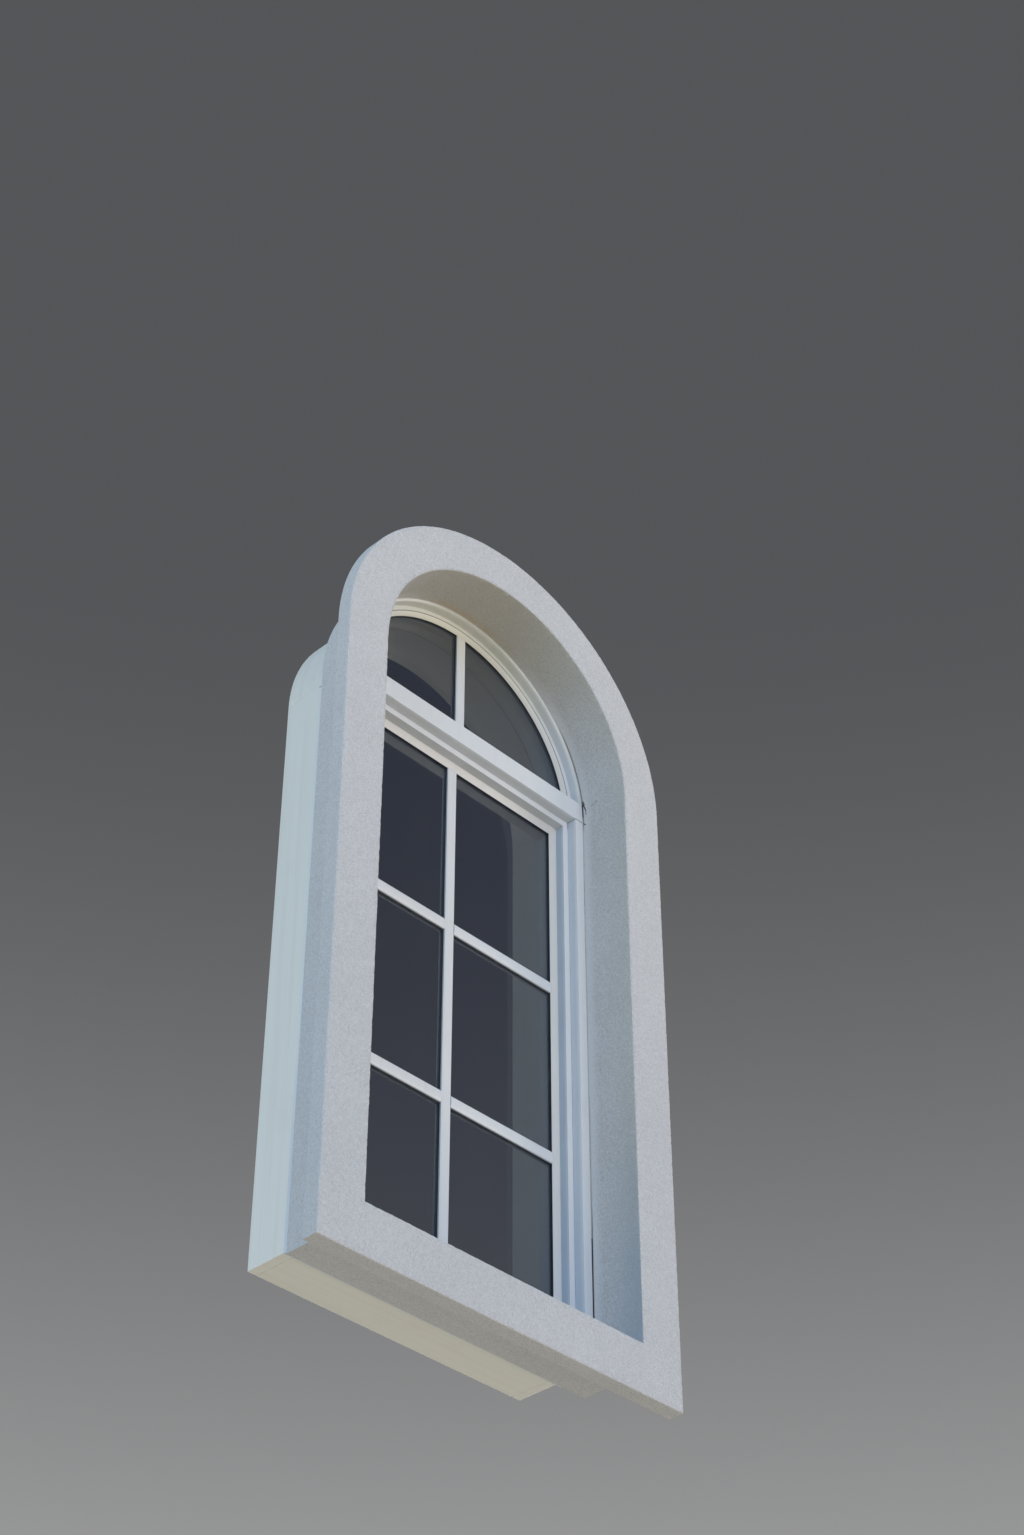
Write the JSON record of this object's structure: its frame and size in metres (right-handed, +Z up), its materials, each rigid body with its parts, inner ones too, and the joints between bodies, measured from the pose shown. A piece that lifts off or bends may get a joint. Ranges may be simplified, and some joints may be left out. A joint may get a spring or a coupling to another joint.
{
  "type": "arched window",
  "caption": "Fixed round-headed window with glazing bars, a transom and a rough rendered surround, seen as an outdoor facade piece.",
  "frame": {"origin": "on the wall's outer face, at the middle of the surround's bottom edge: the plane where the back of the face band meets the wall", "axes": "+X to the right as seen from outside, +Y into the wall and the room, +Z up"},
  "size_m": [0.807, 0.271, 1.6363],
  "materials": {
    "render": "matte",
    "white_coating": "satin",
    "tinted_glass": "gloss",
    "gasket_rubber": "matte",
    "foam_tape": "matte",
    "sealant": "matte",
    "painted_timber": "satin",
    "packer_plastic": "matte",
    "screw_steel": "satin",
    "bare_aluminium": "satin"
  },
  "bodies": {
    "root": {"arch_bar_inner": "white_coating", "arch_bar_outer": "white_coating", "arch_base_bead": "white_coating", "arch_bead": "white_coating", "arch_frame": "white_coating", "arch_gasket": "gasket_rubber", "arch_glass": "tinted_glass", "arch_setting_blocks": "packer_plastic", "arch_tape": "foam_tape", "bar_tapes_inner": "foam_tape", "bar_tapes_outer": "foam_tape", "bead_bottom": "white_coating", "bead_left": "white_coating", "bead_right": "white_coating", "bead_top": "white_coating", "corner_cleats": "bare_aluminium", "cross_bar_inner_left_1": "white_coating", "cross_bar_inner_left_2": "white_coating", "cross_bar_inner_right_1": "white_coating", "cross_bar_inner_right_2": "white_coating", "cross_bar_outer_left_1": "white_coating", "cross_bar_outer_left_2": "white_coating", "cross_bar_outer_right_1": "white_coating", "cross_bar_outer_right_2": "white_coating", "frame_screws": "screw_steel", "frame_sill": "white_coating", "left_jamb": "white_coating", "lining_arch": "painted_timber", "lining_left": "painted_timber", "lining_right": "painted_timber", "lining_sill": "painted_timber", "lower_gasket": "gasket_rubber", "lower_glass": "tinted_glass", "lower_setting_blocks": "packer_plastic", "lower_tape": "foam_tape", "perimeter_seal": "sealant", "right_jamb": "white_coating", "sash_bottom_rail": "white_coating", "sash_left_stile": "white_coating", "sash_right_stile": "white_coating", "sash_top_rail": "white_coating", "side_packers": "packer_plastic", "sill_packers": "packer_plastic", "sill_seal": "sealant", "surround": "render", "transom": "white_coating", "upright_bar_inner": "white_coating", "upright_bar_outer": "white_coating"}
  },
  "joints": []
}
